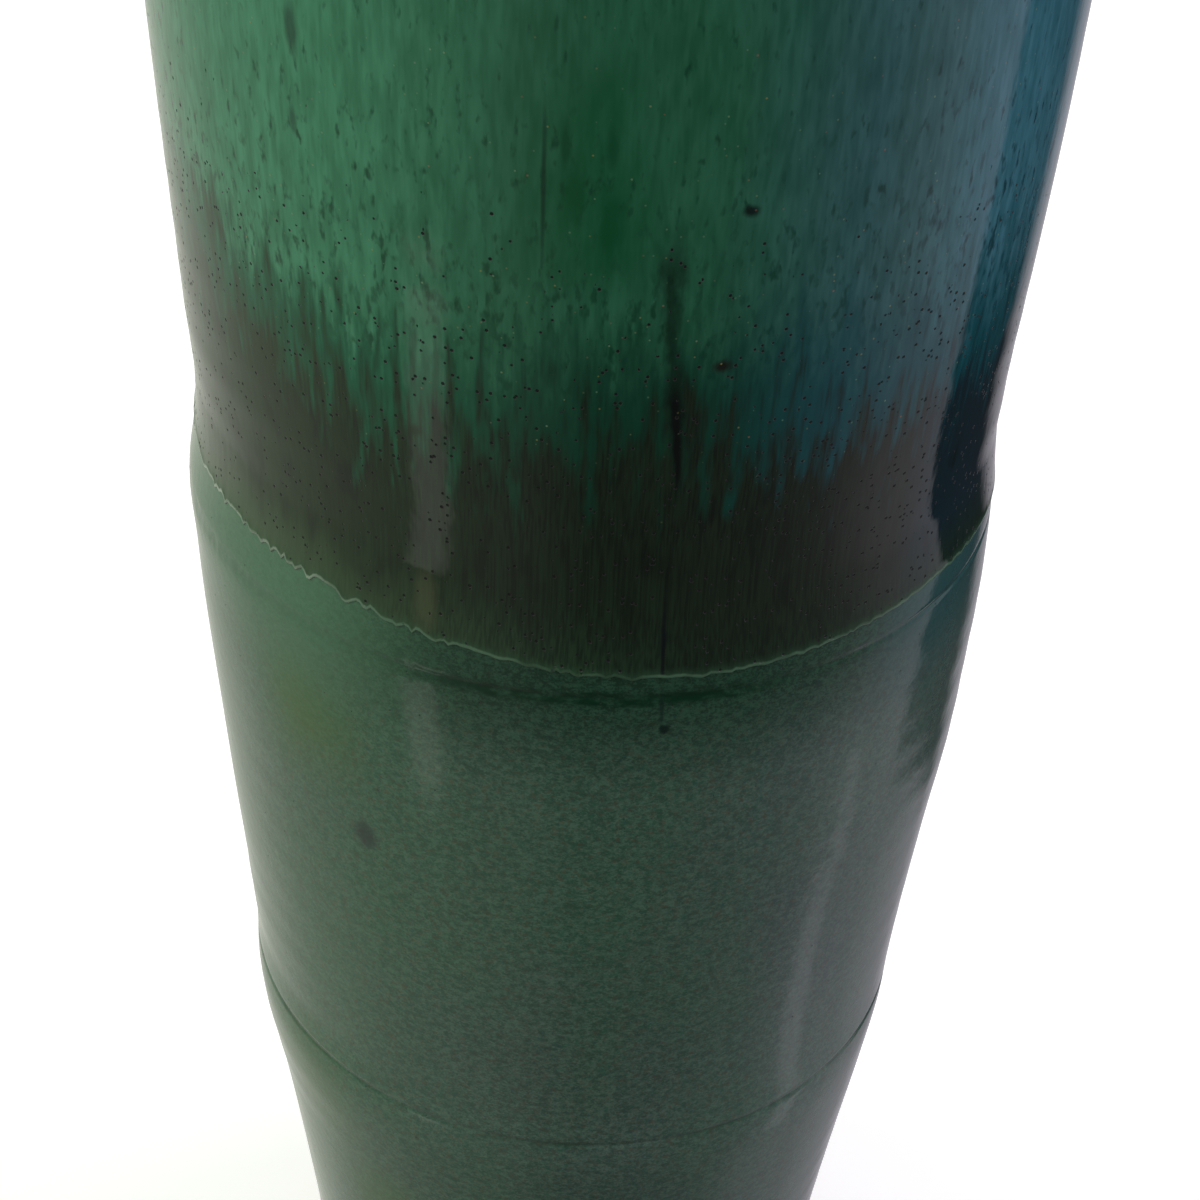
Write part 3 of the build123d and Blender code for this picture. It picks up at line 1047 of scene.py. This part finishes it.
def sage_glaze():
    g = Glaze("sage_glaze")
    left, right = g.sides()
    broad = g.span(g.noise(45, 1.6), 0.35, 0.65)
    patch = g.noise(20, 1.2, shift=0.7)
    fibres = g.noise(0.5, 0.8, 2.0, 0.6, 0.7)
    curds = g.noise(1.5, 0.75, 2.0, 0.5, 0.5, shift=0.2)
    flecks = g.noise(1.1, 0.7, 2.0, 0.5, 0.3, shift=1.2)
    weave = g.add(g.times(fibres, 0.55), g.times(curds, 0.45))

    # Close under the upper glaze it is deeper and greener. Its lighter left and bluer far right
    # are partly painted light.
    jade = g.wash(
        g.mix(g.span(weave, 0.4, 0.62), (12, 52, 34), (38, 84, 60)),
        (g.mix(weave, (70, 116, 84), (98, 144, 114)), g.span(left, 0.1, 0.7)),
        ((42, 88, 90), g.span(right, 0.6, 0.9)),
    )

    # Dark lines in the creases: partly glass pooled there, partly painted shade, painted darkest
    # at the front.
    blurred = g.add(g.thrown, g.sway(g.noise(3, 0.3, 3.0, 0.6), 5 * MM))
    upper = g.bell(blurred, UPPER_JOINT - 0.6 * MM, 1.0 * MM, 3.0 * MM)
    lower = g.bell(blurred, LOWER_JOINT, 0.6 * MM, 1.8 * MM)
    front = g.bell(g.turn, math.radians(2), math.radians(10), math.radians(22))
    pools = g.span(g.noise(3.5, 0.5, shift=0.9), 0.36, 0.6, 0.4, 1.0)

    # Where it crept down over the foot it is thin, and the clay shows through.
    thin = g.span(g.add(g.z, g.sway(patch, 6 * MM)), GLAZE_START + 7 * MM, GLAZE_START)

    holes = g.some(g.spots(5, 0.42, soft=0.4), 0.3)
    colour = g.wash(
        g.mix(broad, (61, 97, 78), (65, 91, 82)),
        (g.mix(broad, (97, 134, 112), (103, 130, 117)), g.span(weave, 0.36, 0.66)),
        # Greener to the left, partly painted light; the grey, lavender veil to the right is a
        # painted reflection.
        (g.mix(weave, (60, 104, 70), (88, 138, 96)), left, 0.5),
        ((98, 106, 112), right, 0.45),
        ((100, 88, 70), g.span(flecks, 0.55, 0.7, 0.0, 0.5)),
        ((48, 108, 88), g.span(flecks, 0.45, 0.3, 0.0, 0.5)),
        *g.marks(YELLOW_PATCHES, patch, 1.0),
        (jade, g.span(g.thrown, 425 * MM, 480 * MM), 0.85),
        # Painted shade with pooled glass in the upper crease, strongest at the front.
        ((3, 50, 28), upper, pools, g.span(front, 0.0, 1.0, 0.12, 1.0)),
        ((30, 62, 46), lower, g.span(patch, 0.3, 0.65), 0.5),
        *g.marks(SAGE_MARKS, g.noise(3)),
        ((96, 84, 56), thin, 0.6),
        ((14, 22, 18), holes, 0.7),
    )
    rough = g.add(g.gloss(7, 1.0, 0.05, 0.12), g.times(holes, 0.4))
    relief = g.add(g.times(g.noise(2.4, 1.0, 1.0), 0.3), g.times(fibres, 0.05),
                   g.times(holes, -0.6))
    return g.finish(colour, rough, relief, 0.25 * MM)


# %% [markdown]
# ### Lining, clay and slip
# The lining is one dark pour of an olive glaze. The clay is a grogged stoneware with turning
# lines, and the slip is the same clay, wet and fine.


# %% Lining, clay and slip
def lining_glaze():
    g = Glaze("lining_glaze")
    clouds = g.noise(30, 2.0, 3.0)
    runs = g.noise(5, 6.0)
    holes = g.some(g.spots(4, 0.5, soft=0.4), 0.35)
    colour = g.wash(
        g.mix(g.span(clouds, 0.35, 0.65), (62, 66, 48), (94, 94, 68)),
        ((112, 104, 72), g.span(runs, 0.5, 0.75, 0.0, 0.5)),
        g.rim_crest(clouds, runs),
        ((10, 9, 8), holes),
    )
    relief = g.add(g.times(g.noise(3, 1.0, 1.0), 0.3), g.times(holes, -0.6))
    return g.finish(colour, g.gloss(8, 1.0, 0.1, 0.22), relief, 0.25 * MM)


def bare_clay(name="bare_clay", wet=0.0):
    g = Glaze(name)
    sand = g.noise(0.7, 1.0, 2.0, 0.7)
    lines = g.noise(90, 0.008, 3.0, 0.7)
    grog, own = g.spots(3.4, 0.8, soft=0.4)
    dark = g.some((grog, own), 0.3 * (1 - wet))
    light = g.times(grog, g.math("GREATER_THAN", own, 0.75 + 0.2 * wet))
    colour = g.wash(
        g.mix(g.span(g.noise(20, 0.6, 3.0), 0.35, 0.65), (146, 122, 94), (170, 148, 118)),
        ((112, 88, 66), g.span(sand, 0.4, 0.65, 0.0, 0.5)),
        ((98, 76, 58), g.span(lines, 0.5, 0.7, 0.0, 0.35)),
        ((58, 44, 34), dark, 0.8),
        ((196, 180, 152), light, 0.7),
    )
    rough = g.span(sand, 0.3, 0.7, 0.72 - 0.2 * wet, 0.9 - 0.2 * wet, smooth=False)
    relief = g.add(g.times(sand, 0.4), g.times(lines, 0.8), g.times(g.less(light, dark), 0.4))
    return g.finish(colour, rough, relief, 0.2 * MM)


teal, sage, lining = teal_glaze(), sage_glaze(), lining_glaze()
clay, slip = bare_clay(), bare_clay("slip", wet=1.0)
print("glaze nodes", {m.name: len(m.node_tree.nodes) for m in (teal, sage, lining, clay, slip)})

# %% [markdown]
# ## Throw and glaze the vase
# Now the wheel turns. Each line of the table is one piece: its section, how finely it is
# turned, its finish, the CAD piece that it stands for and the slot that its finish comes
# from.

# %% Turn every piece
COARSE, SMOOTH, FINE = 192, 320, 640     # steps round
job = [(name, loop, COARSE, clay, name, "bare_clay") for name, loop in clay_sections.items()]
job += [(name, loop, COARSE, slip, name, "slip") for name, loop in slip_sections.items()]
job += [
    ("lower_coat", lower_coat(), FINE, sage, "lower_glaze", "sage_glaze"),
    ("middle_coat", middle_coat(), FINE, sage, "lower_glaze", "sage_glaze"),
    ("upper_coat", upper_coat(), FINE, teal, "upper_glaze", "teal_glaze"),
    ("top_coat", top_coat(), FINE, teal, "upper_glaze", "teal_glaze"),
]
job += [(name, loop, SMOOTH, lining, "lining_glaze", "lining_glaze") for name, loop in (
    ("lining_base", lining_base()),
    ("lining_middle", lining_between(LOWER_JOINT, UPPER_JOINT)),
    ("lining_upper", lining_between(UPPER_JOINT, SHOULDER_JOINT)),
    ("lining_neck", lining_neck()),
)]
for name, loop, steps, finish, node, slot in job:
    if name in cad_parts:
        name += "_clay"
    piece = turned_piece(name, without_repeats(loop), steps, finish)
    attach(piece, "root")
    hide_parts(node)
bpy.data.objects.remove(rib_points)
bpy.data.node_groups.remove(wheel)

# %% [markdown]
# ## Studio
# A pale floor that only the camera sees, and a studio drawn in the world: a glossy pot shows
# the room round it, so the room matters as much as the glaze. It is dim in front, bright
# behind and to the left, and it has one hard dark gap behind on the right.

# %% Floor, lights and world
ROOM_LOW = [  # turn round the vase from the front towards its right, in degrees, and brightness
    (-180, 0.62), (-160, 0.66), (-130, 0.60), (-110, 0.48), (-89, 0.41), (-67, 0.32), (-45, 0.27),
    (-22, 0.22), (0, 0.09), (22, 0.08), (45, 0.09), (67, 0.15), (89, 0.34), (112, 0.36),
    (113.5, 0.02), (142, 0.02), (151, 0.34), (161, 0.42), (180, 0.60),
]
SOFT_BOXES = [(-80, 2.6), (98, 3.0)]     # turn and brightness of two wide lamps overhead
BACKDROP = 0.95                          # brightness of the backdrop that the camera sees
scene = bpy.context.scene
world = bpy.data.worlds.new("studio")
world.use_nodes = True
scene.world = world
world.node_tree.nodes.clear()
w = Bench(world.node_tree)
looking = w.get("ShaderNodeTexCoord", out="Generated")
wx, wy, wz = w.node("ShaderNodeSeparateXYZ", looking).outputs
bearing = w.times(w.math("ARCTAN2", wx, w.times(wy, -1.0)), 180 / math.pi)
rise = w.times(w.math("ARCSINE", wz), 180 / math.pi)
all_round = w.span(bearing, -180, 180, smooth=False)
ramp = w.node("ShaderNodeValToRGB", all_round)
stops = ramp.color_ramp.elements
while len(stops) < len(ROOM_LOW):
    stops.new(0.5)
for stop, (at, value) in zip(stops, ROOM_LOW):
    stop.position = (at + 180) / 360
    stop.color = (value, value, value, 1)
low_room = w.node("ShaderNodeSeparateColor", ramp.outputs[0]).outputs[0]
foot_of_gap = w.times(w.bell(bearing, 130, 18, 8), w.span(rise, -40.5, -44), 0.31)
low_room = w.math("MAXIMUM", low_room, foot_of_gap)
low_room = w.add(low_room, w.times(w.bell(bearing, -47, 3, 5), w.bell(rise, -41, 5, 3), 0.45))
ripple = w.clouds(looking, 9.0, 3.0)
strip = w.bell(w.add(bearing, w.sway(ripple, 16)), 92, 3, 3)
low_room = w.add(low_room, w.times(strip, w.bell(rise, -49, 4, 3), 0.26))
low_room = w.times(low_room, w.span(rise, -72, -52, 0.6, 1.0))
shade = w.times(w.bell(bearing, 92, 14, 22), w.span(rise, -40, -50, 0.0, 0.16))
low_room = w.times(low_room, w.less(1.0, shade))
high_room = w.add(w.times(low_room, 0.45), 0.38)
for at, strength in SOFT_BOXES:
    box = w.times(w.bell(bearing, at, 20, 5), w.bell(rise, 45, 14, 5))
    high_room = w.add(high_room, w.times(box, strength))
room = w.span(rise, -6, 10)
brightness = w.add(w.times(low_room, w.less(1.0, room)), w.times(high_room, room))
seen = w.get("ShaderNodeLightPath", out="Is Camera Ray")
brightness = w.add(w.times(brightness, w.less(1.0, seen)), w.times(seen, BACKDROP))
tints = w.node("ShaderNodeValToRGB", all_round)
left_tint, right_tint = tints.color_ramp.elements
left_tint.position, left_tint.color = 0.42, (0.99, 1.02, 0.90, 1)
right_tint.position, right_tint.color = 0.62, (1.04, 0.99, 1.08, 1)
tint = w.get("ShaderNodeVectorMath", tints.outputs[0], (1, 1, 1), operation="SUBTRACT")
tint = w.get("ShaderNodeVectorMath", tint, operation="SCALE", in_Scale=w.less(1.0, seen))
tint = w.get("ShaderNodeVectorMath", tint, (1, 1, 1), operation="ADD")
background = w.node("ShaderNodeBackground", in_Strength=brightness, in_Color=tint)
world_out = world.node_tree.nodes.new("ShaderNodeOutputWorld")
world.node_tree.links.new(background.outputs[0], world_out.inputs[0])

floor_mesh = bpy.data.meshes.new("floor")
FLOOR_REACH = 4.0
corners = [(x * FLOOR_REACH, y * FLOOR_REACH, 0) for x, y in ((-1, -1), (1, -1), (1, 1), (-1, 1))]
floor_mesh.from_pydata(corners, [], [(0, 1, 2, 3)])
floor = bpy.data.objects.new("floor", floor_mesh)
scene.collection.objects.link(floor)
pale = bpy.data.materials.new("pale_floor")
pale.use_nodes = True
for key, value in (("Base Color", paint(250, 250, 250)), ("Roughness", 0.9),
                   ("Emission Color", (1, 1, 1, 1)), ("Emission Strength", 0.4)):
    pale.node_tree.nodes["Principled BSDF"].inputs[key].default_value = value
floor_mesh.materials.append(pale)
floor.visible_glossy = False
floor.visible_diffuse = False
scene.view_settings.view_transform = "Standard"
